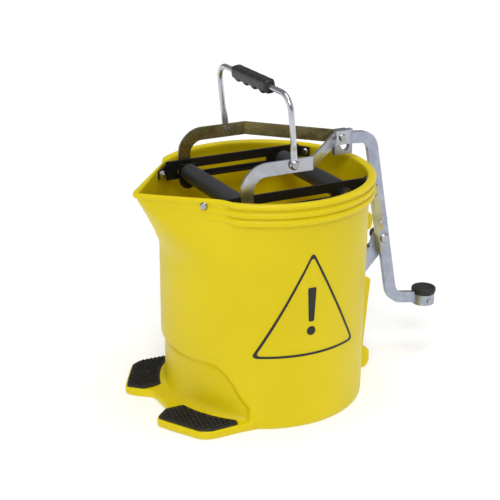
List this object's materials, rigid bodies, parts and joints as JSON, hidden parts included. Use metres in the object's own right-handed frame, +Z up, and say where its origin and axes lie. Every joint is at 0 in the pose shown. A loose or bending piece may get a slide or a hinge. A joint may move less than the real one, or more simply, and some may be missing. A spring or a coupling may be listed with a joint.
{
  "type": "mop bucket with wringer",
  "caption": "Round mop bucket with a pouring spout and a roller wringer in its mouth, closed by a foot lever behind, with a swinging bail handle and grip.",
  "frame": {"origin": "centre of the bucket's base circle, on the floor", "axes": "+X to the foot pedal, -X to the spout and tread feet, +Y along the roller axles, +Z up"},
  "size_m": [0.4771, 0.299, 0.4505],
  "materials": {
    "bucket_yellow": "satin",
    "rubber_black": "matte",
    "black_steel": "satin",
    "zinc_steel": "satin",
    "fastener_steel": "satin",
    "spring_steel": "satin",
    "roller_grey": "satin",
    "bush_plastic": "matte",
    "grip_black": "satin",
    "print_black": "matte"
  },
  "bodies": {
    "bucket_frame": {"bucket": "bucket_yellow", "foot_pad_left": "rubber_black", "foot_pad_right": "rubber_black", "side_rail_left": "black_steel", "side_rail_right": "black_steel", "rail_bolts": "fastener_steel", "rail_nuts": "fastener_steel", "rear_axle": "fastener_steel", "rear_axle_nuts": "fastener_steel", "pivot_bracket": "zinc_steel", "backing_plate": "zinc_steel", "bracket_bolts": "fastener_steel", "bracket_nuts": "fastener_steel", "pivot_pin": "fastener_steel", "pivot_clip": "spring_steel", "hazard_print": "print_black", "return_spring": "spring_steel"},
    "lever": {"pedal_arm": "zinc_steel", "arm_stiffener": "zinc_steel", "arm_rivets": "fastener_steel", "pivot_bush": "bush_plastic", "pedal_ring": "zinc_steel", "pedal_pad": "rubber_black", "pedal_rivet": "fastener_steel"},
    "yoke": {"yoke_strap_left": "zinc_steel", "yoke_strap_right": "zinc_steel", "yoke_pin": "fastener_steel", "yoke_pin_clip": "spring_steel", "front_axle": "fastener_steel", "front_axle_nuts": "fastener_steel", "carrier_left": "black_steel", "carrier_right": "black_steel", "bail_rivets": "fastener_steel"},
    "moving_roller": {"front_roller": "roller_grey", "front_roller_bushes": "bush_plastic"},
    "fixed_roller": {"rear_roller": "roller_grey", "rear_roller_bushes": "bush_plastic"},
    "bail": {"bail_rod": "zinc_steel", "bail_grip": "grip_black"}
  },
  "joints": [
    {"name": "pedal_press", "type": "hinge", "parent": "bucket_frame", "child": "lever", "pos_m": [0.1943, 0, 0.188], "axis": [0, 1, 0], "range_deg": [0, 32], "stiffness_Nm_per_rad": 1.2, "springref_deg": -68.75, "deforming": ["return_spring"]},
    {"name": "yoke_slide", "type": "slide", "parent": "bucket_frame", "child": "yoke", "axis": [1, 0, 0], "range_m": [-0.0002, 0.0965]},
    {"name": "front_roller_spin", "type": "hinge", "parent": "yoke", "child": "moving_roller", "pos_m": [-0.074, 0, 0.3], "axis": [0, 1, 0], "continuous": true},
    {"name": "rear_roller_spin", "type": "hinge", "parent": "bucket_frame", "child": "fixed_roller", "pos_m": [0.072, 0, 0.3], "axis": [0, 1, 0], "continuous": true},
    {"name": "bail_swing", "type": "hinge", "parent": "yoke", "child": "bail", "pos_m": [-0.0085, 0, 0.35], "axis": [0, 1, 0], "range_deg": [-80, 68]}
  ],
  "couplings": [
    {"joint": "yoke_slide", "follows": "pedal_press", "m_per_rad": 0.17189}
  ]
}
